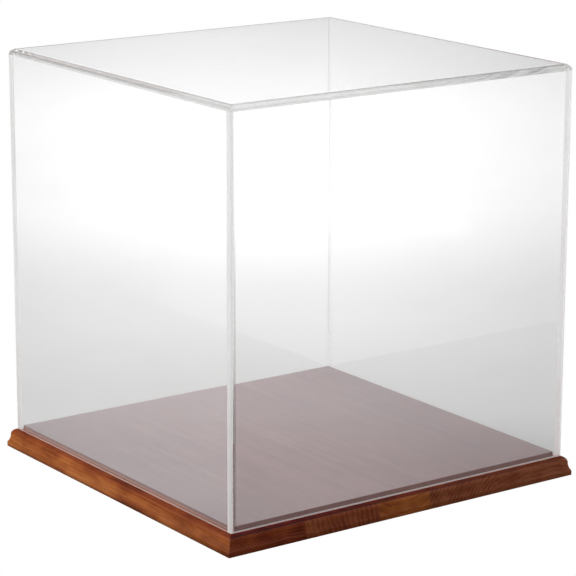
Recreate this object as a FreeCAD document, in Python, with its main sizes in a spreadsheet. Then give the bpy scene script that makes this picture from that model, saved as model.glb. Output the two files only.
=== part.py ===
import FreeCAD, Part
import Sketcher
import math
import os

# Table-top display case: a five-sided clear acrylic cover that stands on the
# ledge of a solid wood base with a routed ogee edge.
# Frame: origin at the centre of the underside, +Z up, -Y towards the front,
# the staves of the base run front to back along Y.

doc = FreeCAD.newDocument("display_case")
sheet = doc.addObject("Spreadsheet::Sheet", "dims")

# name, value in mm or formula, note
rows = [
    ("inner_width", "304.8", "clear width inside the cover, left to right"),
    ("inner_depth", "298.8", "clear depth inside the cover, front to back"),
    ("cover_height", "311.4", "bottom edge of the walls to the top of the cover"),
    ("sheet_thick", "4.7625", "acrylic sheet"),
    ("edge_round", "4.6", "round-over along the four top edges"),
    ("margin", "6.25", "cover's outer face to the base's outer edge"),
    ("ledge_height", "15.25", "underside to the ledge the cover stands on"),
    ("platform_rise", "3.8", "ledge to the top of the raised platform"),
    ("platform_gap", "0.8", "cover's inner face to the platform's side"),
    ("square_height", "3.7", "upright square at the foot of the routed edge"),
    ("waist_inset", "2.2", "depth of the cove at its waist"),
    ("round_radius", "5.0", "quarter round above the cove"),
    ("stave_1", "69.3", "stave widths, left to right"),
    ("stave_2", "68.0", ""),
    ("stave_3", "48.2", ""),
    ("stave_4", "63.9", ""),
    ("outer_width", "=inner_width+2*sheet_thick", "cover over the walls"),
    ("outer_depth", "=inner_depth+2*sheet_thick", ""),
    ("base_width", "=outer_width+2*margin", "base over the routed edge"),
    ("base_depth", "=outer_depth+2*margin", ""),
    ("board_thick", "=ledge_height+platform_rise", "base board"),
    ("rebate", "=margin+sheet_thick+platform_gap", "base edge to the platform"),
    ("wall_height", "=cover_height-sheet_thick", "upright sheets under the top"),
    ("stave_5", "=base_width-stave_1-stave_2-stave_3-stave_4", ""),
]
for i, (alias, value, note) in enumerate(rows, start=1):
    sheet.set("A%d" % i, alias)
    sheet.set("B%d" % i, value)
    if note:
        sheet.set("C%d" % i, note)
    sheet.setAlias("B%d" % i, alias)
doc.recompute()


def val(alias):
    return float(sheet.get(alias))


def plane(body, role):
    for feature in body.Origin.OriginFeatures:
        if feature.Role == role:
            return feature
    raise RuntimeError("no origin plane " + role)


def new_body(label, x="0", y="0", z="0"):
    body = doc.addObject("PartDesign::Body", label)
    body.Label = label
    doc.recompute()
    for axis, formula in (("x", x), ("y", y), ("z", z)):
        body.setExpression("Placement.Base." + axis, formula)
    return body


def new_sketch(body, name, role):
    sk = body.newObject("Sketcher::SketchObject", name)
    sk.AttachmentSupport = [(plane(body, role), "")]
    sk.MapMode = "FlatFace"
    doc.recompute()
    return sk


def bind(sk, name, formula):
    sk.setExpression("Constraints." + name, formula)


def named(sk, constraint, name):
    index = sk.addConstraint(constraint)
    sk.renameConstraint(index, name)
    return index


def centred_rectangle(sk, width, height, wf, hf):
    """A rectangle centred on the sketch origin, its sides set by formulas."""
    a, b = width / 2.0, height / 2.0
    pts = [(-a, -b), (a, -b), (a, b), (-a, b)]
    vec = [FreeCAD.Vector(p[0], p[1], 0) for p in pts]
    sk.addGeometry([Part.LineSegment(vec[i], vec[(i + 1) % 4]) for i in range(4)], False)
    for i in range(4):
        sk.addConstraint(Sketcher.Constraint("Coincident", i, 2, (i + 1) % 4, 1))
    for i in (0, 2):
        sk.addConstraint(Sketcher.Constraint("Horizontal", i))
    for i in (1, 3):
        sk.addConstraint(Sketcher.Constraint("Vertical", i))
    sk.addConstraint(Sketcher.Constraint("Symmetric", 0, 1, 1, 2, -1, 1))
    named(sk, Sketcher.Constraint("DistanceX", 0, 1, 0, 2, width), "across")
    named(sk, Sketcher.Constraint("DistanceY", 1, 1, 1, 2, height), "up")
    bind(sk, "across", wf)
    bind(sk, "up", hf)


def edge_waste(sk, reach, reach_formula):
    """The wood that the rebate and the ogee cutter take off one edge.

    Sketch x runs outwards-in from -reach, sketch y is height. From the outer
    face going in: upright square, cove up to the waist, quarter round to the
    ledge, ledge, then the platform's side.
    """
    v, wi, r = val("square_height"), val("waist_inset"), val("round_radius")
    ledge, top, reb = val("ledge_height"), val("board_thick"), val("rebate")
    waist = ledge - r
    rise = waist - v
    cove = (wi * wi + rise * rise) / (2.0 * wi)
    x0 = -reach
    V = lambda x, y: FreeCAD.Vector(x, y, 0)
    up = FreeCAD.Vector(0, 0, 1)
    c1 = Part.Circle(V(x0 + wi - cove, waist), up, cove)
    a1 = Part.ArcOfCircle(c1, -math.asin(rise / cove), 0.0)
    c2 = Part.Circle(V(x0 + wi + r, waist), up, r)
    a2 = Part.ArcOfCircle(c2, math.pi / 2.0, math.pi)
    out, over = 6.0, 6.0
    p_out = V(x0 - out, v)
    p1 = V(x0, v)
    p3 = V(x0 + wi + r, ledge)
    p4 = V(x0 + reb, ledge)
    p5 = V(x0 + reb, top + over)
    p6 = V(x0 - out, top + over)
    L = Part.LineSegment
    sk.addGeometry(
        [L(p_out, p1), a1, a2, L(p3, p4), L(p4, p5), L(p5, p6), L(p6, p_out)], False
    )
    C = Sketcher.Constraint
    sk.addConstraint(C("Coincident", 0, 2, 1, 1))
    sk.addConstraint(C("Coincident", 1, 2, 2, 2))
    sk.addConstraint(C("Coincident", 2, 1, 3, 1))
    sk.addConstraint(C("Coincident", 3, 2, 4, 1))
    sk.addConstraint(C("Coincident", 4, 2, 5, 1))
    sk.addConstraint(C("Coincident", 5, 2, 6, 1))
    sk.addConstraint(C("Coincident", 6, 2, 0, 1))
    for i in (0, 3, 5):
        sk.addConstraint(C("Horizontal", i))
    for i in (4, 6):
        sk.addConstraint(C("Vertical", i))
    # both arcs stand upright at the waist, the round lies flat at the ledge
    sk.addConstraint(C("Horizontal", 1, 3, 1, 2))
    sk.addConstraint(C("Horizontal", 2, 3, 2, 2))
    sk.addConstraint(C("Vertical", 2, 3, 2, 1))
    named(sk, C("DistanceX", 0, 2, -1, 1, reach), "half_span")
    named(sk, C("DistanceY", -1, 1, 0, 2, v), "square")
    named(sk, C("DistanceX", 0, 2, 1, 2, wi), "waist")
    named(sk, C("Radius", 2, r), "round")
    named(sk, C("DistanceY", -1, 1, 3, 1, ledge), "ledge")
    named(sk, C("DistanceX", 0, 2, 3, 2, reb), "shelf")
    named(sk, C("DistanceX", 0, 1, 0, 2, out), "outside")
    named(sk, C("DistanceY", 4, 1, 4, 2, top + over - ledge), "above")
    bind(sk, "half_span", reach_formula)
    bind(sk, "square", "dims.square_height")
    bind(sk, "waist", "dims.waist_inset")
    bind(sk, "round", "dims.round_radius")
    bind(sk, "ledge", "dims.ledge_height")
    bind(sk, "shelf", "dims.rebate")
    bind(sk, "above", "dims.platform_rise + 6")


def cut_through(body, sk, name):
    """Run a waste sketch along the whole edge; the cut must take wood away."""
    before = body.Shape.Volume
    pocket = body.newObject("PartDesign::Pocket", name)
    pocket.Profile = sk
    pocket.Type = "ThroughAll"
    pocket.SideType = "Symmetric"
    doc.recompute()
    if not body.Shape.Volume < before - 1.0:
        raise RuntimeError(name + " cut nothing")
    return pocket


def mirror(body, original, role, name):
    before = body.Shape.Volume
    feature = body.newObject("PartDesign::Mirrored", name)
    feature.Originals = [original]
    feature.MirrorPlane = (plane(body, role), [""])
    body.Tip = feature
    doc.recompute()
    if not body.Shape.Volume < before - 1.0:
        raise RuntimeError(name + " cut nothing")
    return feature


bodies = []

# ---------------------------------------------------------------- base
# Five hardwood staves glued edge to edge. Every stave carries the rebate and
# the ogee across both of its ends; the outer two also carry them along their
# outer side, so the routed edge runs all round the board.
left_edges = ["-dims.base_width/2"]
for i in range(1, 5):
    left_edges.append(left_edges[-1] + " + dims.stave_%d" % i)
for i in range(1, 6):
    label = "base_stave_%d" % i
    width = "dims.stave_%d" % i
    half = width + "/2"
    body = new_body(label, x=left_edges[i - 1] + " + " + half)
    if i == 5:
        # same machining as the first stave, turned end for end
        body.Placement.Rotation = FreeCAD.Rotation(FreeCAD.Vector(0, 0, 1), 180)
    outline = new_sketch(body, "outline_%d" % i, "XY_Plane")
    centred_rectangle(
        outline, val("stave_%d" % i), val("base_depth"), width, "dims.base_depth"
    )
    board = body.newObject("PartDesign::Pad", "board_%d" % i)
    board.Profile = outline
    board.Length = val("board_thick")
    board.setExpression("Length", "dims.board_thick")
    doc.recompute()
    end_sketch = new_sketch(body, "end_waste_%d" % i, "YZ_Plane")
    edge_waste(end_sketch, val("base_depth") / 2.0, "dims.base_depth/2")
    front_end = cut_through(body, end_sketch, "front_end_%d" % i)
    mirror(body, front_end, "XZ_Plane", "back_end_%d" % i)
    if i in (1, 5):
        side_sketch = new_sketch(body, "side_waste_%d" % i, "XZ_Plane")
        edge_waste(side_sketch, val("stave_%d" % i) / 2.0, half)
        cut_through(body, side_sketch, "side_cut_%d" % i)
    bodies.append(body)

# ---------------------------------------------------------------- cover
# Walls stand on the ledge. Front and back run the full width, left and right
# stand between them, and the top lies over all four.


def wall(label, role, width_formula, width, x="0", y="0"):
    body = new_body(label, x=x, y=y, z="dims.ledge_height + dims.wall_height/2")
    outline = new_sketch(body, label + "_outline", role)
    centred_rectangle(
        outline, width, val("wall_height"), width_formula, "dims.wall_height"
    )
    pad = body.newObject("PartDesign::Pad", label + "_sheet")
    pad.Profile = outline
    pad.SideType = "Symmetric"
    pad.Length = val("sheet_thick")
    pad.setExpression("Length", "dims.sheet_thick")
    doc.recompute()
    bodies.append(body)
    return body


half_y = "dims.inner_depth/2 + dims.sheet_thick/2"
half_x = "dims.inner_width/2 + dims.sheet_thick/2"
wall("front_panel", "XZ_Plane", "dims.outer_width", val("outer_width"), y="-(" + half_y + ")")
wall("back_panel", "XZ_Plane", "dims.outer_width", val("outer_width"), y=half_y)
wall("left_panel", "YZ_Plane", "dims.inner_depth", val("inner_depth"), x="-(" + half_x + ")")
wall("right_panel", "YZ_Plane", "dims.inner_depth", val("inner_depth"), x=half_x)

top = new_body("top_panel", z="dims.ledge_height + dims.wall_height")
outline = new_sketch(top, "top_outline", "XY_Plane")
centred_rectangle(
    outline,
    val("outer_width"),
    val("outer_depth"),
    "dims.outer_width",
    "dims.outer_depth",
)
pad = top.newObject("PartDesign::Pad", "top_sheet")
pad.Profile = outline
pad.Length = val("sheet_thick")
pad.setExpression("Length", "dims.sheet_thick")
doc.recompute()
thick = val("sheet_thick")
rim = [
    "Edge%d" % (n + 1)
    for n, edge in enumerate(pad.Shape.Edges)
    if all(abs(vertex.Point.z - thick) < 1e-6 for vertex in edge.Vertexes)
]
if len(rim) != 4:
    raise RuntimeError("top rim edges not found")
rounded = top.newObject("PartDesign::Fillet", "top_round")
rounded.Base = (pad, rim)
rounded.Radius = val("edge_round")
rounded.setExpression("Radius", "dims.edge_round")
doc.recompute()
bodies.append(top)

# ---------------------------------------------------------------- output
for obj in doc.Objects:
    for flag in ("Invalid", "Error"):
        if flag in obj.State:
            raise RuntimeError("%s is %s" % (obj.Name, flag))
for body in bodies:
    if body.Shape.isNull() or not body.Shape.isValid() or len(body.Shape.Solids) != 1:
        raise RuntimeError("bad shape: " + body.Label)
os.makedirs("parts", exist_ok=True)
for body in bodies:
    body.Shape.exportStep("parts/%s.step" % body.Label)
    bb = body.Shape.BoundBox
    print(
        "%-14s vol %10.1f  x %8.3f %8.3f  y %8.3f %8.3f  z %8.3f %8.3f"
        % (body.Label, body.Shape.Volume, bb.XMin, bb.XMax, bb.YMin, bb.YMax, bb.ZMin, bb.ZMax)
    )
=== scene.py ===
"""Clear acrylic display case: a five-panel lift-off cover on a glued-up, ogee-edged, stained wood base. Metres, in the CAD's frame; sizes below are in millimetres."""

import math

import bmesh
import bpy
from mathutils import Matrix, Vector


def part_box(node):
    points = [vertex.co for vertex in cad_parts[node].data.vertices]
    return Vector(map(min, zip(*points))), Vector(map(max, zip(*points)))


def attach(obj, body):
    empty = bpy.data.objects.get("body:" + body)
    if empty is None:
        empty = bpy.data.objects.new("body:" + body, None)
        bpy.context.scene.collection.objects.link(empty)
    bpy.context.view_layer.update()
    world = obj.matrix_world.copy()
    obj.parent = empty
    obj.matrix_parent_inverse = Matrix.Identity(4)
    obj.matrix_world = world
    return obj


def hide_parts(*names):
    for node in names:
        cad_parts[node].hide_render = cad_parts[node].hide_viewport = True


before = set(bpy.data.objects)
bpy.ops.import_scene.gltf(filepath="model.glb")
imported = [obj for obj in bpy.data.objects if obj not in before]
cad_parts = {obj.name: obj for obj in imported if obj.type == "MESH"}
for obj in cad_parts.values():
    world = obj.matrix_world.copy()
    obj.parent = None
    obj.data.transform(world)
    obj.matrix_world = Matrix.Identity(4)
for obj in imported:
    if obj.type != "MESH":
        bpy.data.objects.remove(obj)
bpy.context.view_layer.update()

MM = 0.001
SCENE = bpy.context.scene


def span(node):
    """A CAD node's box in millimetres: (x0, x1, y0, y1, z0, z1)."""
    lo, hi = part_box(node)
    return tuple(v / MM for a in zip(lo, hi) for v in a)


# ---------------------------------------------------------------- camera, first

camera = bpy.data.cameras.new("camera")
camera.sensor_fit = "HORIZONTAL"
camera.sensor_width = 36.0
camera.lens = 157.133
camera.clip_start, camera.clip_end = 0.05, 60.0
camera_object = bpy.data.objects.new("camera", camera)
SCENE.collection.objects.link(camera_object)
right = Vector((0.81315089, -0.58204507, 0.00302786))
up = Vector((0.1413715, 0.20254514, 0.96901474))
back = Vector((-0.56462353, -0.78752715, 0.24698435))
turn = Matrix((right, up, back)).transposed().to_4x4()
camera_object.matrix_world = (
    Matrix.Translation((-1.11638491, -1.56098195, 0.63148814)) @ turn
)
SCENE.camera = camera_object


# ---------------------------------------------------------------- mesh helpers


def piece(name, body, nodes, points, faces, materials, groups=None, sharp=35, flat=1e9):
    """A mesh piece from points in millimetres, riding on a body and standing for CAD nodes."""
    mesh = bpy.data.meshes.new(name)
    mesh.from_pydata([(x * MM, y * MM, z * MM) for x, y, z in points], [], faces)
    for m in materials:
        mesh.materials.append(m)
    if groups:
        for polygon, group in zip(mesh.polygons, groups):
            polygon.material_index = group
    bm = bmesh.new()
    bm.from_mesh(mesh)
    bmesh.ops.recalc_face_normals(bm, faces=bm.faces)
    bm.to_mesh(mesh)
    bm.free()
    mesh.shade_smooth()
    mesh.set_sharp_from_angle(angle=math.radians(sharp))
    for polygon in mesh.polygons:
        if polygon.area > flat * MM * MM:  # broad faces stay dead flat, so their edges don't tilt their shading
            polygon.use_smooth = False
    made = bpy.data.objects.new(name, mesh)
    SCENE.collection.objects.link(made)
    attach(made, body)
    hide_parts(*nodes)
    return made


def loft(rings, closed=True):
    """Faces that join rings of the same length, with a cap at each end."""
    n = len(rings[0])
    points = [p for ring in rings for p in ring]
    faces = []
    for k in range(len(rings) - 1):
        a, b = k * n, (k + 1) * n
        for i in range(n):
            j = (i + 1) % n
            faces.append((a + i, a + j, b + j, b + i))
    faces.append(tuple(range(n))[::-1])
    faces.append(tuple(range((len(rings) - 1) * n, len(rings) * n)))
    return points, faces


def arc(cx, cy, r, a0, a1, steps):
    """Points on a circle from a0 to a1 degrees."""
    out = []
    for k in range(steps + 1):
        a = math.radians(a0 + (a1 - a0) * k / steps)
        out.append((cx + r * math.cos(a), cy + r * math.sin(a)))
    return out


# ---------------------------------------------------------------- node helpers


class Tree:
    """Short calls for building a node tree."""

    def __init__(self, tree):
        self.tree = tree
        tree.nodes.clear()

    def node(self, kind, inputs=(), **settings):
        n = self.tree.nodes.new(kind)
        for key, value in settings.items():
            setattr(n, key, value)
        for key, value in dict(inputs).items():
            self.put(n.inputs[key], value)
        return n

    def put(self, socket, value):
        if isinstance(value, bpy.types.NodeSocket):
            self.tree.links.new(value, socket)
        else:
            socket.default_value = value

    def math(self, operation, *values, clamp=False):
        n = self.node("ShaderNodeMath", operation=operation, use_clamp=clamp)
        for socket, value in zip(n.inputs, values):
            self.put(socket, value)
        return n.outputs[0]

    def vector(self, operation, *values):
        n = self.node("ShaderNodeVectorMath", operation=operation)
        for socket, value in zip(n.inputs, values):
            self.put(socket, value)
        return n.outputs["Value" if operation in ("DOT_PRODUCT", "LENGTH", "DISTANCE") else "Vector"]

    def map(self, value, a, b, c=0.0, d=1.0, smooth=False):
        n = self.node(
            "ShaderNodeMapRange",
            {"Value": value, "From Min": a, "From Max": b, "To Min": c, "To Max": d},
            interpolation_type="SMOOTHSTEP" if smooth else "LINEAR",
        )
        return n.outputs["Result"]

    def noise(self, vector, scale, detail=2.0, rough=0.5, distortion=0.0, colour=False, dims="3D", w=0.0):
        n = self.node(
            "ShaderNodeTexNoise",
            {"Vector": vector, "Scale": scale, "Detail": detail, "Roughness": rough, "Distortion": distortion},
            noise_dimensions=dims,
        )
        if dims == "4D":
            n.inputs["W"].default_value = w
        return n.outputs["Color" if colour else 0]

    def mix(self, factor, a, b, blend="MIX"):
        n = self.node("ShaderNodeMix", data_type="RGBA", blend_type=blend)
        n.clamp_factor = True
        self.put(n.inputs[0], factor)
        self.put(n.inputs[6], a)
        self.put(n.inputs[7], b)
        return n.outputs[2]

    def ramp(self, value, stops, interpolation="LINEAR"):
        n = self.node("ShaderNodeValToRGB", {"Fac": value})
        n.color_ramp.interpolation = interpolation
        while len(n.color_ramp.elements) < len(stops):
            n.color_ramp.elements.new(0.5)
        for element, (position, colour) in zip(n.color_ramp.elements, stops):
            element.position = position
            element.color = colour if len(colour) == 4 else (*colour, 1.0)
        return n.outputs["Color"]


def grey(v):
    return (v, v, v, 1.0)


def material(name):
    m = bpy.data.materials.new(name)
    m.use_nodes = True
    return m, Tree(m.node_tree)


# ---------------------------------------------------------------- acrylic


def clear_acrylic(name, roughness, haze, wave, tint=None):
    """Clear sheet: a trace of wiping haze and a very slight unevenness. Lamps and scattered light pass straight through, so that what stands inside is lit."""
    m, t = material(name)
    place = t.node("ShaderNodeTexCoord").outputs["Object"]
    if haze:
        wipe = t.vector("MULTIPLY", place, (9.0, 9.0, 26.0))
        smear = t.noise(wipe, 1.0, 4.0, 0.6)
        fine = t.noise(place, 900.0, 2.0, 0.6)
        haze_map = t.math("MULTIPLY", t.map(smear, 0.45, 0.75, 0.0, 1.0, True), t.map(fine, 0.3, 0.8))
        rough = t.map(haze_map, 0.0, 1.0, roughness, roughness + haze)
    else:
        rough = roughness
    if tint is rim_streaks_and_painted_shade:  # duller where the far end of the left run was worked hardest
        at = t.node("ShaderNodeSeparateXYZ", {0: place})
        dull = t.math("MULTIPLY", t.map(at.outputs[1], 0.095, 0.125, 0.0, 0.14), t.map(at.outputs[0], -0.150, -0.149, 1.0, 0.0))
        rough = t.math("ADD", rough, dull)
    swell = t.noise(place, 22.0, 1.0, 0.4)
    bump = t.node("ShaderNodeBump", {"Strength": 1.0, "Distance": wave, "Height": swell})
    shader = t.node(
        "ShaderNodeBsdfPrincipled",
        {
            "Base Color": (1.0, 1.0, 1.0, 1.0),
            "Roughness": rough,
            "IOR": 1.49,
            "Transmission Weight": 1.0,
            "Normal": bump.outputs["Normal"],
        },
    )
    if tint:
        t.put(shader.inputs["Base Color"], tint(t, place))
    result = shader.outputs[0]
    path = t.node("ShaderNodeLightPath")
    clear = t.node("ShaderNodeBsdfTransparent", {"Color": (0.96, 0.965, 0.97, 1.0)})
    first = t.node("ShaderNodeMixShader", {0: path.outputs["Is Diffuse Ray"], 1: result, 2: clear.outputs[0]})
    second = t.node(
        "ShaderNodeMixShader", {0: path.outputs["Is Shadow Ray"], 1: first.outputs[0], 2: clear.outputs[0]}
    )
    out = t.node("ShaderNodeOutputMaterial")
    t.tree.links.new(second.outputs[0], out.inputs["Surface"])
    return m


def rim_streaks_and_painted_shade(t, place):
    """Darker streaks on the rounded rim: long sweeping ones on the front run toward one corner, short close ones at the
    far end of the left run, hardly any elsewhere. High on the rounding of the front and left runs a painted shade
    darkens the rim.
    """
    at = t.node("ShaderNodeSeparateXYZ", {0: place})
    x, y, z = (t.math("MULTIPLY", at.outputs[i], 1000.0) for i in range(3))
    rise = t.map(z, 322.05, 326.65)
    # front run
    sweep = t.map(x, 60.0, 150.0, 52.0, 14.0)
    u = t.math("DIVIDE", t.math("SUBTRACT", x, t.math("MULTIPLY", rise, sweep)), 9.0)
    lines = t.node("ShaderNodeCombineXYZ", {0: u, 1: t.math("MULTIPLY", rise, 0.7)}).outputs[0]
    front = t.map(t.noise(lines, 1.0, 2.0, 0.55), 0.43, 0.57, 0.0, 0.95, True)
    front = t.math("MULTIPLY", front, t.map(x, -20.0, 120.0, 0.12, 1.0, True))
    front = t.math("MULTIPLY", front, t.map(y, -150.5, -149.0, 1.0, 0.0))
    # left run
    v = t.math("ADD", t.math("DIVIDE", y, 3.4), t.math("MULTIPLY", rise, 2.2))
    chips = t.node("ShaderNodeCombineXYZ", {0: v, 1: t.math("MULTIPLY", rise, 2.0)}).outputs[0]
    left = t.map(t.noise(chips, 1.0, 2.0, 0.5), 0.42, 0.62, 0.0, 1.0, True)
    left = t.math("MULTIPLY", left, t.map(y, 60.0, 135.0, 0.12, 0.60, True))
    left = t.math("MULTIPLY", left, t.map(x, -153.5, -152.0, 1.0, 0.0))
    marks = t.math("MAXIMUM", front, left)
    # painted shade high on the rounding of the front and left runs
    near = t.math("MAXIMUM", t.map(y, -149.5, -148.5, 1.0, 0.0), t.map(x, -152.5, -151.5, 1.0, 0.0))
    crest_painted_shade = t.math("MULTIPLY", t.map(rise, 0.72, 0.90, 0.0, 0.55, True), near)
    shade = t.mix(crest_painted_shade, (0.955, 0.99, 0.985, 1.0), (0.50, 0.52, 0.53, 1.0))
    return t.mix(marks, shade, (0.42, 0.44, 0.45, 1.0))


def film(low, high, foot=None):
    """A film of dried cement, finely wrinkled, whose grey is painted shade: one tone low down turning to another toward
    the lid, with an optional tone at the very foot.
    """

    def colour(t, place):
        wrinkle = t.noise(t.vector("MULTIPLY", place, (1500.0, 1500.0, 240.0)), 1.0, 3.0, 0.6)
        height = t.node("ShaderNodeSeparateXYZ", {0: place}).outputs[2]
        fade = t.map(t.math("ADD", height, t.math("MULTIPLY", wrinkle, 0.03)), 0.20, 0.32)
        fade = t.mix(fade, low, high)
        return t.mix(t.map(height, 0.03, 0.07), foot, fade) if foot else fade

    return colour


def wiped(t, place):
    """The faintest film left in wide arcs by a cloth."""
    smear = t.noise(t.vector("MULTIPLY", place, (9.0, 9.0, 26.0)), 1.0, 4.0, 0.6)
    return t.mix(t.map(smear, 0.42, 0.75, 0.0, 1.0, True), (1.0, 1.0, 1.0, 1.0), (0.985, 0.986, 0.984, 1.0))


POLISHED = clear_acrylic("acrylic_sheet", 0.0, 0.0, 0.00001, wiped)
RIM = clear_acrylic("acrylic_rounded_edge", 0.0, 0.03, 0.00001, rim_streaks_and_painted_shade)


def sawn_acrylic(name, tint, clear_share, roughness, milk):
    """A cut edge, scraped but not polished: matt and milky, with fine scraper lines along it."""
    m, t = material(name)
    place = t.node("ShaderNodeTexCoord").outputs["Object"]
    lines = t.noise(t.vector("MULTIPLY", place, (2600.0, 2600.0, 9.0)), 1.0, 2.0, 0.5)
    cloud = t.noise(place, 60.0, 2.0, 0.5)
    mottle = t.math("ADD", t.math("MULTIPLY", lines, 0.35), t.math("MULTIPLY", cloud, 0.65))
    colour = t.mix(t.map(mottle, 0.3, 0.7), (tint[0] * 0.93, tint[1] * 0.93, tint[2] * 0.93, 1.0), (*tint, 1.0))
    bump = t.node("ShaderNodeBump", {"Strength": 0.25, "Distance": 0.00001, "Height": lines})
    shader = t.node(
        "ShaderNodeBsdfPrincipled",
        {
            "Base Color": colour,
            "Roughness": t.map(cloud, 0.3, 0.7, roughness, roughness + 0.1),
            "IOR": 1.49,
            "Transmission Weight": clear_share,
            "Normal": bump.outputs["Normal"],
        },
    )
    milky = t.node("ShaderNodeBsdfTranslucent", {"Color": colour})
    both = t.node("ShaderNodeMixShader", {0: milk, 1: shader.outputs[0], 2: milky.outputs[0]})
    out = t.node("ShaderNodeOutputMaterial")
    t.tree.links.new(both.outputs[0], out.inputs["Surface"])
    return m


SAWN = sawn_acrylic("acrylic_sawn_edge", (1.0, 0.995, 0.985), 0.65, 0.35, 0.45)
SCRAPED = sawn_acrylic("acrylic_scraped_edge", (1.0, 0.995, 0.985), 0.96, 0.13, 0.09)
# the pink of the two foot edges is painted reflection of the wood beneath them, strongest over the long-grain sides
FOOT_PAINTED_REFLECTION = sawn_acrylic("acrylic_foot_edge", (0.96, 0.86, 0.82), 0.25, 0.45, 0.42)
WARM_FOOT_PAINTED_REFLECTION = sawn_acrylic("acrylic_foot_edge_on_long_grain", (0.97, 0.58, 0.47), 0.35, 0.45, 0.35)


def cemented(name, milk):
    """A solvent-cemented joint: the sheets have run together, so most light goes straight across; the seam is faintly
    milky, with fine bubbles, and low inside the front left corner it carries a painted shade.
    """
    m, t = material(name)
    place = t.node("ShaderNodeTexCoord").outputs["Object"]
    bubbles = t.noise(place, 600.0, 2.0, 0.5)
    share = t.map(bubbles, 0.50, 0.80, milk, milk + 0.12)
    # low down along the inside of the front left corner the seam carries a painted shade
    at = t.node("ShaderNodeSeparateXYZ", {0: place})
    corner_painted_shade = t.math("MULTIPLY", t.map(at.outputs[0], -0.1538, -0.1530), t.map(at.outputs[0], -0.1522, -0.1521, 1.0, 0.0))
    corner_painted_shade = t.math("MULTIPLY", corner_painted_shade, t.map(at.outputs[1], -0.1490, -0.1489, 1.0, 0.0))
    corner_painted_shade = t.math("MULTIPLY", corner_painted_shade, t.map(at.outputs[2], 0.10, 0.15, 1.0, 0.0))
    tone = t.mix(corner_painted_shade, (0.992, 0.993, 0.99, 1.0), (0.62, 0.60, 0.60, 1.0))
    clear = t.node("ShaderNodeBsdfTransparent", {"Color": tone})
    milky = t.node("ShaderNodeBsdfTranslucent", {"Color": t.mix(corner_painted_shade, (0.99, 0.98, 0.97, 1.0), (0.40, 0.38, 0.38, 1.0))})
    both = t.node("ShaderNodeMixShader", {0: share, 1: clear.outputs[0], 2: milky.outputs[0]})
    out = t.node("ShaderNodeOutputMaterial")
    t.tree.links.new(both.outputs[0], out.inputs["Surface"])
    return m


CEMENT = cemented("acrylic_cemented_joint", 0.28)
CLEAR_CEMENT = cemented("acrylic_clear_joint", 0.0)
MILKY_CEMENT = cemented("acrylic_milky_joint", 0.60)
HAZY_CEMENT = cemented("acrylic_hazy_joint", 0.66)
SHEET = 4.7625


# painted shade: the near line is darkest low down, the far line darkest toward the lid
CEMENT_LINE = clear_acrylic("acrylic_cement_line", 0.03, 0.06, 0.00002, film((0.58, 0.55, 0.55, 1.0), (0.88, 0.87, 0.865, 1.0)))
FAINT_LINE = clear_acrylic("acrylic_faint_line", 0.0, 0.02, 0.00001, film((0.68, 0.675, 0.68, 1.0), (0.35, 0.35, 0.36, 1.0), (0.96, 0.96, 0.96, 1.0)))
SQUEEZE = 1.4


def faces_of(bm):
    """Points and faces of a bmesh."""
    bm.verts.index_update()
    points = [tuple(v.co) for v in bm.verts]
    faces = [tuple(v.index for v in f.verts) for f in bm.faces]
    return points, faces


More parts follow.
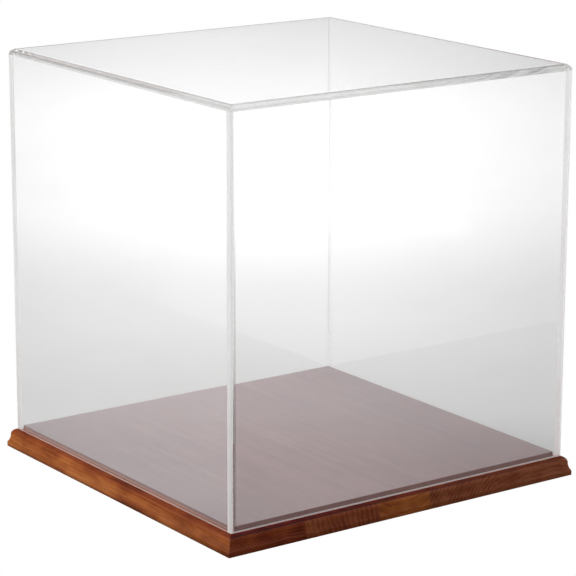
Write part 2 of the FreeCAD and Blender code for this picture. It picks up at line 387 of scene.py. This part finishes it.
def panel(name, node, ends, gap, cement_ends):
    """A wall sheet. The front and back sheets have matt ends with hand-sanded corners; the top, and the ends or strips that meet another sheet, are cemented."""
    x0, x1, y0, y1, z0, z1 = span(node)
    gx0, gx1, gy0, gy1, gz0, gz1 = gap
    x0, x1, y0, y1, z0, z1 = x0 + gx0, x1 - gx1, y0 + gy0, y1 - gy1, z0 + gz0, z1 - gz1
    bm = bmesh.new()
    bmesh.ops.create_cube(bm, size=1.0)
    for v in bm.verts:
        v.co = Vector((x0 if v.co.x < 0 else x1, y0 if v.co.y < 0 else y1, z0 if v.co.z < 0 else z1))
    inner = 1.0 if y1 < 0 else -1.0
    outer_y = y0 if y1 < 0 else y1
    if not cement_ends:
        # the case's four upright corners are sanded round once the cement has set
        corners = [e for e in bm.edges if abs((e.verts[0].co - e.verts[1].co).z) > 50 and abs(e.verts[0].co.y - outer_y) < 0.01]
        bmesh.ops.bevel(bm, geom=corners, offset=1.3, segments=6, profile=0.5, affect="EDGES")
    # arrises are softly broken wherever they aren't cemented
    for at_foot, width in ((True, 0.15 if cement_ends else 0.4), (False, 0.2)):
        open_edges = []
        for e in bm.edges:
            mid = (e.verts[0].co + e.verts[1].co) / 2
            if mid.z > z1 - 0.01 or e.calc_face_angle(0.0) < math.radians(40):
                continue
            if (mid.z < z0 + 1.0) != at_foot:
                continue
            if cement_ends and (mid.y < y0 + 0.01 or mid.y > y1 - 0.01):
                continue
            open_edges.append(e)
        if open_edges:
            bmesh.ops.bevel(bm, geom=open_edges, offset=width, segments=3 if at_foot else 2, profile=0.5, affect="EDGES")
    if not cement_ends:
        for side in (-1.0, 1.0):
            geom = list(bm.verts) + list(bm.edges) + list(bm.faces)
            bmesh.ops.bisect_plane(bm, geom=geom, plane_co=(side * (x1 - SHEET), 0.0, 0.0), plane_no=(1.0, 0.0, 0.0))
        # a line of squeezed-out cement stands inside the front left corner, a fainter one inside the far corner; their
        # grey is painted shade
        line = SHEET + SQUEEZE - x1 if inner > 0 else x1 - SHEET - 1.1
        geom = list(bm.verts) + list(bm.edges) + list(bm.faces)
        bmesh.ops.bisect_plane(bm, geom=geom, plane_co=(line, 0.0, 0.0), plane_no=(1.0, 0.0, 0.0))
    points, faces = faces_of(bm)
    centre = Vector(((x0 + x1) / 2, (y0 + y1) / 2, (z0 + z1) / 2))
    groups = []
    for f in bm.faces:
        f.normal_update()
        c = f.calc_center_median()
        n = f.normal if f.normal.dot(c - centre) > 0 else -f.normal
        group = 0
        if n.z > 0.9:
            group = 3
        elif n.z < -0.25:
            group = 2
        elif cement_ends:
            if abs(n.y) > 0.9:
                group = (8 if c.x > 0 else 3) if c.y < 0 else 4 if c.x > 0 else 6
        else:
            if abs(n.x) > 0.9:
                group = 9 if inner < 0 and c.x < 0 else 1
            elif n.y * inner > 0.9 and abs(c.x) > x1 - SHEET:
                group = (8 if c.x > 0 else 3) if c.y < 0 else 4 if c.x > 0 else 6
            elif n.y * inner > 0.9 and inner > 0 and c.x < line:
                group = 5
            elif n.y * inner > 0.9 and inner < 0 and c.x > line:
                group = 7
            elif abs(n.x) > 0.1 and abs(n.z) < 0.3:
                group = 1
        groups.append(group)
    bm.free()
    return piece(name, "cover", [node], points, faces, [POLISHED, ends, WARM_FOOT_PAINTED_REFLECTION if cement_ends else FOOT_PAINTED_REFLECTION, CEMENT, CLEAR_CEMENT, CEMENT_LINE, MILKY_CEMENT, FAINT_LINE, HAZY_CEMENT, SAWN], groups, flat=250.0)


g = 0.03
panel("cover_front_panel", "front_panel", SAWN, (0, 0, 0, 0, g, g), False)
panel("cover_back_panel", "back_panel", SCRAPED, (0, 0, 0, 0, g, g), False)
panel("cover_left_panel", "left_panel", SAWN, (0, 0, g, g, g, g), True)
panel("cover_right_panel", "right_panel", SAWN, (0, 0, g, g, g, g), True)


def top_panel():
    """The lid sheet: its upper rim is rounded over almost its whole thickness by hand."""
    x0, x1, y0, y1, z0, z1 = span("top_panel")
    r = 4.6
    profile = [(0.25, z0), (0.07, z0 + 0.07), (0.0, z0 + 0.16)]
    profile += [(r - a, z1 - r + b) for a, b in arc(0, 0, r, 0, 90, 14)]
    corner = 1.2
    rings = []
    for inset, z in profile:
        ring = []
        hx, hy = x1 - inset, y1 - inset
        rc = corner
        for cx, cy, a0 in ((hx - rc, -(hy - rc), -90), (hx - rc, hy - rc, 0), (-(hx - rc), hy - rc, 90), (-(hx - rc), -(hy - rc), 180)):
            for p in arc(cx, cy, rc, a0, a0 + 90, 5):
                ring.append((p[0], p[1], z))
        rings.append(ring)
    # splits the straight runs
    dense = []
    for ring in rings:
        out = []
        n = len(ring)
        for i in range(n):
            a, b = Vector(ring[i]), Vector(ring[(i + 1) % n])
            out.append(tuple(a))
            if i % 6 == 5:
                count = 150
                for k in range(1, count):
                    out.append(tuple(a.lerp(b, k / count)))
        dense.append(out)
    points, faces = loft(dense)
    bm = bmesh.new()
    verts = [bm.verts.new(p) for p in points]
    for f in faces:
        bm.faces.new([verts[i] for i in f])
    # marks off the strip of the underside that is cemented to the walls
    for co, no in (((x0 + SHEET, 0, 0), (1, 0, 0)), ((x1 - SHEET, 0, 0), (1, 0, 0)), ((0, y0 + SHEET, 0), (0, 1, 0)), ((0, y1 - SHEET, 0), (0, 1, 0))):
        under = [f for f in bm.faces if all(abs(v.co.z - z0) < 0.001 for v in f.verts)]
        geom = under + list({e for f in under for e in f.edges}) + list({v for f in under for v in f.verts})
        bmesh.ops.bisect_plane(bm, geom=geom, plane_co=co, plane_no=no)
    points, faces = faces_of(bm)
    groups = []
    for f in bm.faces:
        c = f.calc_center_median()
        flat_up = all(abs(v.co.z - z1) < 0.001 for v in f.verts)
        flat_down = all(abs(v.co.z - z0) < 0.001 for v in f.verts)
        strip = abs(c.x) > x1 - SHEET or abs(c.y) > y1 - SHEET
        groups.append(2 if flat_down and strip else 0 if flat_down or flat_up else 1)
    bm.free()
    return piece("cover_top_panel", "cover", ["top_panel"], points, faces, [POLISHED, RIM, CEMENT], groups, flat=250.0)


top_panel()


# ---------------------------------------------------------------- wood


def wood(name, seed, pith, period, dark, mid, light, end, ring_long=0.10, ring_end=0.30, drift=(0.0, 0.0)):
    """Solid wood: growth rings about a pith that runs along the stave, fibres along Y, end grain darker where the stain soaked in. Sizes in millimetres."""
    m, t = material(name)
    place = t.vector("SCALE", t.node("ShaderNodeTexCoord").outputs["Object"])
    place.node.inputs["Scale"].default_value = 1000.0
    own = t.vector("ADD", place, (seed * 37.0, seed * 90.0, seed * 11.0))
    slow = t.noise(t.vector("MULTIPLY", own, (0.02, 0.005, 0.02)), 1.0, 2.0, 0.5, colour=True)
    warp = t.vector("MULTIPLY", t.vector("SUBTRACT", slow, (0.5, 0.5, 0.5)), (8.0, 0.0, 8.0))
    bent = t.node("ShaderNodeSeparateXYZ", {0: t.vector("ADD", place, warp)})
    dx = t.math("SUBTRACT", bent.outputs[0], pith[0])
    dx = t.math("SUBTRACT", dx, t.math("MULTIPLY", bent.outputs[1], drift[0]))
    dz = t.math("SUBTRACT", bent.outputs[2], pith[1])
    dz = t.math("SUBTRACT", dz, t.math("MULTIPLY", bent.outputs[1], drift[1]))
    radius = t.math("SQRT", t.math("ADD", t.math("MULTIPLY", dx, dx), t.math("MULTIPLY", dz, dz)))
    uneven = t.noise(t.vector("MULTIPLY", own, (0.11, 0.012, 0.11)), 1.0, 2.0, 0.5)
    phase = t.math("ADD", t.math("DIVIDE", radius, period), t.math("MULTIPLY", uneven, 1.0))
    ring = t.ramp(
        t.math("FRACT", phase),
        [(0.0, grey(0.15)), (0.10, grey(0.0)), (0.35, grey(0.12)), (0.78, grey(0.50)), (0.92, grey(1.0)), (1.0, grey(0.15))],
    )
    # years differ: some rings are strong, some hardly show
    years = t.noise(t.vector("MULTIPLY", own, (0.09, 0.004, 0.09)), 1.0, 1.0, 0.5)
    ring = t.math("MULTIPLY", ring, t.map(years, 0.30, 0.70, 0.25, 1.35))
    fibre = t.noise(t.vector("MULTIPLY", own, (3.2, 0.07, 3.2)), 1.0, 3.0, 0.62)
    streak = t.noise(t.vector("MULTIPLY", own, (0.45, 0.010, 0.45)), 1.0, 3.0, 0.55)
    blotch = t.noise(t.vector("MULTIPLY", own, (0.06, 0.030, 0.09)), 1.0, 3.0, 0.55)
    speckle = t.noise(t.vector("MULTIPLY", own, (1.5, 0.2, 1.5)), 1.0, 3.0, 0.6)
    # long grain
    tone = t.math("ADD", t.math("MULTIPLY", streak, 0.40), t.math("MULTIPLY", blotch, 0.80))
    tone = t.math("ADD", tone, t.math("MULTIPLY", fibre, 0.16))
    tone = t.math("SUBTRACT", tone, t.math("MULTIPLY", ring, ring_long))
    long_grain = t.ramp(t.map(tone, 0.42, 0.86), [(0.0, dark), (0.5, mid), (1.0, light)])
    # end grain
    tone = t.math("ADD", t.math("MULTIPLY", speckle, 0.62), t.math("MULTIPLY", blotch, 0.55))
    tone = t.math("SUBTRACT", tone, t.math("MULTIPLY", ring, ring_end))
    end_grain = t.ramp(t.map(tone, 0.22, 0.74), [(0.0, end[0]), (0.5, end[1]), (1.0, end[2])])
    normal = t.node("ShaderNodeNewGeometry").outputs["Normal"]
    across = t.math("ABSOLUTE", t.vector("DOT_PRODUCT", normal, (0.0, 1.0, 0.0)))
    cut = t.map(across, 0.30, 0.75, 0.0, 1.0, True)
    colour = t.mix(cut, long_grain, end_grain)
    # pores: short dark flecks along the grain
    pore = t.noise(t.vector("MULTIPLY", own, (5.5, 0.22, 5.5)), 1.0, 1.0, 0.5)
    flecks = t.map(pore, 0.62, 0.76, 0.0, 0.40)
    colour = t.mix(flecks, colour, (dark[0] * 0.6, dark[1] * 0.5, dark[2] * 0.5, 1.0))
    at = t.node("ShaderNodeSeparateXYZ", {0: place})
    level = at.outputs[2]
    # which side of the base a point is on: 1 on the two end-grain sides
    to_side = t.math("SUBTRACT", 163.41, t.math("ABSOLUTE", at.outputs[0]))
    to_end = t.math("SUBTRACT", 160.41, t.math("ABSOLUTE", at.outputs[1]))
    ends = t.map(t.math("SUBTRACT", to_side, to_end), -0.6, 0.6)
    # stain gathered in the angle under the cover, with painted shade there too: deep red on the end grain
    along = t.map(at.outputs[0], -90.0, 120.0)
    start = t.math("SUBTRACT", level, t.map(along, 0.0, 1.0, 0.0, 0.4))
    gathered_stain_and_shade = t.math("MULTIPLY", t.map(start, 12.6, 13.8, 0.0, 1.0, True), t.map(level, 15.4, 15.8, 1.0, 0.0))
    deep_stain_and_shade = t.mix(ends, (0.70, 0.56, 0.58, 1.0), t.mix(along, (0.27, 0.035, 0.03, 1.0), (0.42, 0.26, 0.22, 1.0)))
    colour = t.mix(gathered_stain_and_shade, colour, t.mix(1.0, colour, deep_stain_and_shade, "MULTIPLY"))
    # painted shade on the upper roll of the long sides, darker and redder, clear below
    roll_painted_shade = t.math("MULTIPLY", t.map(level, 8.5, 12.5, 0.0, 1.0, True), t.map(ends, 0.0, 1.0, 0.62, 0.0))
    roll_painted_shade = t.math("MULTIPLY", roll_painted_shade, t.map(level, 15.4, 15.8, 1.0, 0.0))
    colour = t.mix(roll_painted_shade, colour, t.mix(1.0, colour, (0.80, 0.60, 0.55, 1.0), "MULTIPLY"))
    # the long sides turn lighter and greyer toward their back end
    fade = t.math("MULTIPLY", t.map(level, 15.4, 15.8, 1.0, 0.0), t.map(ends, 0.0, 1.0, 1.0, 0.0))
    spread = t.map(at.outputs[1], -70.0, 150.0, 0.0, 1.0, True)
    colour = t.mix(fade, colour, t.mix(1.0, colour, t.mix(spread, (0.95, 0.91, 0.92, 1.0), (1.20, 1.28, 1.38, 1.0)), "MULTIPLY"))
    # painted shade in the cove of the long sides
    cove = t.math("MULTIPLY", t.map(level, 4.5, 7.5, 1.0, 0.0, True), t.map(ends, 0.0, 1.0, 1.0, 0.0))
    colour = t.mix(cove, colour, t.mix(1.0, colour, (0.88, 0.86, 0.84, 1.0), "MULTIPLY"))
    # and painted shade along the bottom arris of the long sides
    arris_painted_shade = t.math("MULTIPLY", t.map(level, 0.6, 3.4, 1.0, 0.0, True), t.map(ends, 0.0, 1.0, 1.0, 0.0))
    colour = t.mix(arris_painted_shade, colour, t.mix(1.0, colour, (0.62, 0.64, 0.74, 1.0), "MULTIPLY"))
    # the step's upright: darker and duskier above, lighter and more orange along its foot on the long sides
    step = t.map(level, 15.4, 15.7)
    foot = t.math("MULTIPLY", t.map(level, 16.0, 17.6, 1.0, 0.0, True), t.map(ends, 0.0, 1.0, 1.0, 0.0))
    # on the end grain, painted shade in the cove and a painted highlight on the roll above it
    cove_painted_shade = t.math("MULTIPLY", ends, t.map(level, 3.5, 9.5, 1.0, 0.0, True))
    ridge_painted_highlight = t.math("MULTIPLY", ends, t.map(level, 7.5, 10.5, 0.0, 1.0, True))
    colour = t.mix(cove_painted_shade, colour, t.mix(1.0, colour, (0.90, 0.86, 0.82, 1.0), "MULTIPLY"))
    colour = t.mix(t.math("MULTIPLY", ridge_painted_highlight, t.map(level, 15.4, 15.8, 1.0, 0.0)), colour, t.mix(1.0, colour, (1.10, 1.12, 1.16, 1.0), "MULTIPLY"))
    upright = t.mix(foot, t.mix(ends, (0.215, 0.122, 0.115, 1.0), (0.255, 0.152, 0.140, 1.0)), (0.50, 0.240, 0.165, 1.0))
    upright = t.mix(t.map(fibre, 0.3, 0.7, 0.0, 0.35), upright, colour)
    colour = t.mix(step, colour, upright)
    # the deck carries full coats of lacquer over a cooler stain, rubbed smooth
    deck = t.map(level, 18.75, 18.95)
    figure = t.noise(t.vector("MULTIPLY", own, (0.17, 0.005, 0.17)), 1.0, 1.0, 0.5)
    plank = t.math("ADD", t.math("MULTIPLY", figure, 0.6), t.math("MULTIPLY", blotch, 0.5))
    top = t.ramp(t.map(plank, 0.30, 0.80), [(0.0, (0.107, 0.029, 0.034)), (0.5, (0.148, 0.0475, 0.0515)), (1.0, (0.187, 0.070, 0.072))])
    # painted shade on the deck: a little darker along the left side, darker and redder toward the far right corner
    edge = t.map(at.outputs[0], -150.0, -40.0, 0.80, 1.06, True)
    top = t.mix(1.0, top, edge, "MULTIPLY")
    far_right_painted_shade = t.map(t.vector("DOT_PRODUCT", place, (1.0, -0.5, 0.0)), -20.0, 130.0, 0.0, 1.0, True)
    top = t.mix(1.0, top, t.mix(far_right_painted_shade, (1.0, 1.0, 1.0, 1.0), (0.68, 0.44, 0.47, 1.0)), "MULTIPLY")
    colour = t.mix(deck, colour, top)
    rough = t.math("ADD", t.map(t.mix(deck, fibre, blotch), 0.2, 0.8, 0.46, 0.60), t.math("MULTIPLY", deck, -0.16))
    # the lacquer lies fullest toward the far right corner of the deck
    full = t.map(t.vector("DOT_PRODUCT", place, (0.5, 0.5, 0.0)), -60.0, 75.0, 0.815, 1.0, True)
    coat = t.map(deck, 0.0, 1.0, 0.06, full)
    relief = t.math("ADD", t.math("MULTIPLY", fibre, 0.5), t.math("MULTIPLY", flecks, -0.8))
    relief = t.math("MULTIPLY", relief, t.map(deck, 0.0, 1.0, 1.0, 0.0))
    bump = t.node("ShaderNodeBump", {"Strength": 0.5, "Distance": 0.00008, "Height": relief})
    shader = t.node(
        "ShaderNodeBsdfPrincipled",
        {
            "Base Color": colour,
            "Roughness": rough,
            "IOR": 1.45,
            "Specular IOR Level": 0.0,
            "Coat Weight": coat,
            "Coat Roughness": 0.28,
            "Coat IOR": 2.55,
            "Normal": bump.outputs["Normal"],
        },
    )
    out = t.node("ShaderNodeOutputMaterial")
    t.tree.links.new(shader.outputs[0], out.inputs["Surface"])
    return m


def edge_profile():
    """(inset, height) from the underside up: square, cove, quarter round, ledge, platform side. Arrises are softly broken."""
    out = [(0.5, 0.0)] + arc(0.5, 0.5, 0.5, 250, 180, 3) + [(0.0, 3.55), (0.04, 3.72)]
    r, cy = 10.85, 10.25
    a0 = math.degrees(math.atan2(3.7 - cy, 8.65))
    cove = arc(-8.65, cy, r, a0, 0.0, 9)
    out += cove[1:]
    out += arc(7.2, cy, 5.0, 180, 90, 10)[1:]
    out += [(11.8125, 15.25)]
    out += [(11.8125, 18.55)] + arc(12.3125, 18.55, 0.5, 165, 90, 4)
    return out


PROFILE = edge_profile()


def stave(name, node, mat, outer=0):
    """One board of the glued-up base. outer is -1 or 1 where the board's own side carries the moulding too."""
    x0, x1, y0, y1, z0, z1 = span(node)
    rings = []
    rc = 0.5
    for inset, z in PROFILE:
        a, b = y0 + inset, y1 - inset
        if outer == 0:
            ring = [(x0, a, z), (x1, a, z), (x1, b, z), (x0, b, z)]
        elif outer < 0:
            o = x0 + inset
            ring = [(x1, a, z), (x1, b, z)]
            ring += [(px, py, z) for px, py in arc(o + rc, b - rc, rc, 90, 180, 4)]
            ring += [(px, py, z) for px, py in arc(o + rc, a + rc, rc, 180, 270, 4)]
        else:
            o = x1 - inset
            ring = [(x0, b, z), (x0, a, z)]
            ring += [(px, py, z) for px, py in arc(o - rc, a + rc, rc, -90, 0, 4)]
            ring += [(px, py, z) for px, py in arc(o - rc, b - rc, rc, 0, 90, 4)]
        rings.append(ring)
    points, faces = loft(rings)
    return piece(name, "base", [node], points, faces, [mat], flat=5000.0)


LONG = ((0.118, 0.023, 0.0045), (0.285, 0.073, 0.015), (0.455, 0.148, 0.036))
RED_END = ((0.042, 0.0040, 0.0012), (0.121, 0.0190, 0.005), (0.195, 0.046, 0.012))
RUST_END = ((0.050, 0.006, 0.002), (0.148, 0.032, 0.011), (0.232, 0.073, 0.024))
BROWN_END = ((0.055, 0.010, 0.004), (0.150, 0.038, 0.0140), (0.240, 0.079, 0.031))
ORANGE_END = ((0.095, 0.018, 0.0035), (0.195, 0.052, 0.011), (0.300, 0.097, 0.022))
WOODS = [
    wood("wood_1", 1.0, (-112.0, -85.0), 2.3, *LONG, RED_END),
    wood("wood_2", 2.3, (-175.0, -8.0), 4.4, *LONG, RUST_END, ring_end=0.24),
    wood("wood_3", 3.1, (-3.0, 60.0), 6.0, *LONG, ORANGE_END, ring_end=0.18),
    wood("wood_4", 4.7, (132.0, -78.0), 2.8, *LONG, BROWN_END, ring_end=0.34),
    wood("wood_5", 5.9, (136.0, -170.0), 3.3, *LONG, BROWN_END, ring_end=0.20),
]
for i, outer in enumerate((-1, 0, 0, 0, 1), 1):
    stave(f"wood_stave_{i}", f"base_stave_{i}", WOODS[i - 1], outer)


# ---------------------------------------------------------------- stage and light


def stage():
    """A plain white floor. Seen straight it is clean white; seen through or in the case it has the soft fall-off of a lit studio floor."""
    mesh = bpy.data.meshes.new("floor")
    s = 14.0
    mesh.from_pydata([(-s, -s, 0.0), (s, -s, 0.0), (s, s, 0.0), (-s, s, 0.0)], [], [(0, 1, 2, 3)])
    floor = bpy.data.objects.new("floor", mesh)
    floor.location.z = -0.0002
    SCENE.collection.objects.link(floor)
    m, t = material("floor")
    place = t.node("ShaderNodeTexCoord").outputs["Object"]
    # a wide pool of light lies behind the case, along the line from the window side to the far wall
    along = t.vector("DOT_PRODUCT", place, (0.5827, 0.8127, 0.0))
    aside = t.math("ADD", t.vector("DOT_PRODUCT", place, (0.8131, -0.5821, 0.0)), 0.0236)
    level = t.math("ADD", t.map(along, 0.0739, 0.5433, 0.7213, 0.9637, True), t.map(along, 0.4708, 0.9499, 0.0, 0.3281, True))
    level = t.math("MULTIPLY", level, t.map(along, 1.4, 2.6, 1.0, 0.6297, True))
    shade = t.map(aside, -0.16, 0.04, 1.05, 0.2291, True)
    shade = t.math("ADD", shade, t.math("MULTIPLY", t.math("SUBTRACT", 1.0, shade), t.map(along, -0.12, 0.16, 0.0, 1.0, True)))
    level = t.math("MULTIPLY", level, shade)
    width = t.math("MULTIPLY", t.math("ADD", t.math("MAXIMUM", along, 0.0), 2.8826), 0.0968)
    spread = t.math("POWER", t.math("DIVIDE", t.math("ABSOLUTE", aside), width), 2.4275)
    pool = t.math("EXPONENT", t.math("MULTIPLY", spread, -1.0))
    # round it the floor is dimmer, and on the window's far side in front of the case it is nearly dark
    fan = t.math("SUBTRACT", aside, t.math("MULTIPLY", along, 0.25))
    round_it = t.map(fan, -0.30, 0.30, 0.62, 0.60, True)
    beyond = t.map(along, 0.5, 1.3, 0.0, 1.0, True)
    round_it = t.math("ADD", round_it, t.math("MULTIPLY", t.math("SUBTRACT", 0.85, round_it), beyond))
    dark = t.math("MULTIPLY", t.map(along, -0.15, 0.25, 1.0, 0.0, True), t.map(aside, -0.15, 0.25, 0.0, 1.0, True))
    past = t.math("ADD", along, t.math("MULTIPLY", aside, 0.22))
    dark = t.math("MULTIPLY", dark, t.map(past, -0.005, 0.05, 1.0, 0.0, True))
    # and bright again far out on either side
    far_left = t.math("ADD", along, t.math("MULTIPLY", aside, 0.467))
    out_left = t.math("MULTIPLY", t.map(far_left, -0.07, 0.0, 0.0, 1.0, True), t.map(aside, -0.60, -0.42, 1.0, 0.0, True))
    out_right = t.math("MULTIPLY", t.map(past, 0.0, 0.07, 0.0, 1.0, True), t.map(aside, 0.45, 0.62, 0.0, 1.0, True))
    sides = t.math("MAXIMUM", out_left, out_right)
    round_it = t.math("ADD", round_it, t.math("MULTIPLY", t.math("SUBTRACT", 0.158, round_it), dark))
    glow = t.math("ADD", round_it, t.math("MULTIPLY", t.math("SUBTRACT", level, round_it), pool))
    glow = t.math("MAXIMUM", glow, sides)
    soft = t.node("ShaderNodeEmission", {"Color": (1.0, 1.0, 1.0, 1.0), "Strength": glow})
    white = t.node("ShaderNodeEmission", {"Color": (1.0, 1.0, 1.0, 1.0), "Strength": 1.0})
    path = t.node("ShaderNodeLightPath")
    both = t.node("ShaderNodeMixShader", {0: path.outputs["Is Camera Ray"], 1: soft.outputs[0], 2: white.outputs[0]})
    out = t.node("ShaderNodeOutputMaterial")
    t.tree.links.new(both.outputs[0], out.inputs["Surface"])
    mesh.materials.append(m)


stage()


def studio():
    """Soft light: a far wall with a lamp pooled on it, a window on the left, a panel overhead and a small one on the right; dim in front."""
    world = bpy.data.worlds.new("studio")
    SCENE.world = world
    world.use_nodes = True
    t = Tree(world.node_tree)
    direction = t.vector("NORMALIZE", t.node("ShaderNodeTexCoord").outputs["Generated"])
    parts = t.node("ShaderNodeSeparateXYZ", {0: direction})
    z = parts.outputs[2]
    flat = t.vector("NORMALIZE", t.vector("MULTIPLY", direction, (1.0, 1.0, 0.0)))
    # the far wall, lit by a lamp that pools on it at about 15 degrees up
    wall = t.ramp(
        z,
        [(0.0, grey(0.1543)), (0.10, grey(0.1543)), (0.15, grey(0.2646)), (0.18, grey(0.2685)), (0.22, grey(0.5852)), (0.262, grey(1.0)),
         (0.285, grey(0.7351)), (0.31, grey(0.6072)), (0.34, grey(0.3125)), (0.42, grey(0.2813)), (1.0, grey(0.0750))],
    )
    ahead = t.vector("DOT_PRODUCT", flat, (0.55640, 0.83092, 0.0))
    lamp = t.math("EXPONENT", t.math("DIVIDE", t.math("SUBTRACT", ahead, 1.0), 0.0152))
    share = t.math("ADD", t.math("MULTIPLY", lamp, 0.80), 0.20)
    wall = t.math("MULTIPLY", t.math("MULTIPLY", wall, 3.2), share)
    behind = t.map(ahead, 0.0, 0.85, 0.0, 1.0, True)
    # a large soft window on the left
    left = t.map(t.vector("DOT_PRODUCT", direction, (-0.92, 0.39, 0.0)), -0.3, 0.95, 0.0, 1.0, True)
    window = t.math("MULTIPLY", left, t.map(z, 0.30, 0.85, 1.6, 0.5, True))
    glow = t.math("ADD", t.math("MULTIPLY", behind, wall), t.math("MULTIPLY", window, t.math("SUBTRACT", 1.0, behind)))
    glow = t.math("MAXIMUM", glow, t.map(z, 0.0, 0.8, 0.22, 0.28))
    # a broad panel of light overhead, and a smaller one low on the right
    glow = t.math("MAXIMUM", glow, t.map(z, 0.40, 0.60, 0.0, 1.0, True))
    small = t.map(t.vector("DOT_PRODUCT", direction, (1.0, 0.0, 0.0)), 0.72, 0.95, 0.0, 2.2, True)
    glow = t.math("MAXIMUM", glow, small)
    # white sheets stand square to the case on its four sides
    square = t.vector("DOT_PRODUCT", t.vector("ABSOLUTE", flat), (0.5564, 0.8309, 0.0))
    glow = t.math("MAXIMUM", glow, t.map(square, 0.93, 0.98, 0.95, 0.0, True))
    soft = t.node("ShaderNodeBackground", {"Color": (0.995, 0.995, 1.005, 1.0), "Strength": glow})
    white = t.node("ShaderNodeBackground", {"Color": (1.0, 1.0, 1.0, 1.0), "Strength": 1.0})
    path = t.node("ShaderNodeLightPath")
    both = t.node("ShaderNodeMixShader", {0: path.outputs["Is Camera Ray"], 1: soft.outputs[0], 2: white.outputs[0]})
    out = t.node("ShaderNodeOutputWorld")
    t.tree.links.new(both.outputs[0], out.inputs["Surface"])


studio()

SCENE.view_settings.view_transform = "Standard"
SCENE.view_settings.look = "None"
SCENE.cycles.use_denoising = True
SCENE.cycles.max_bounces = 128
SCENE.cycles.transmission_bounces = 128
SCENE.cycles.glossy_bounces = 128
SCENE.cycles.transparent_max_bounces = 64
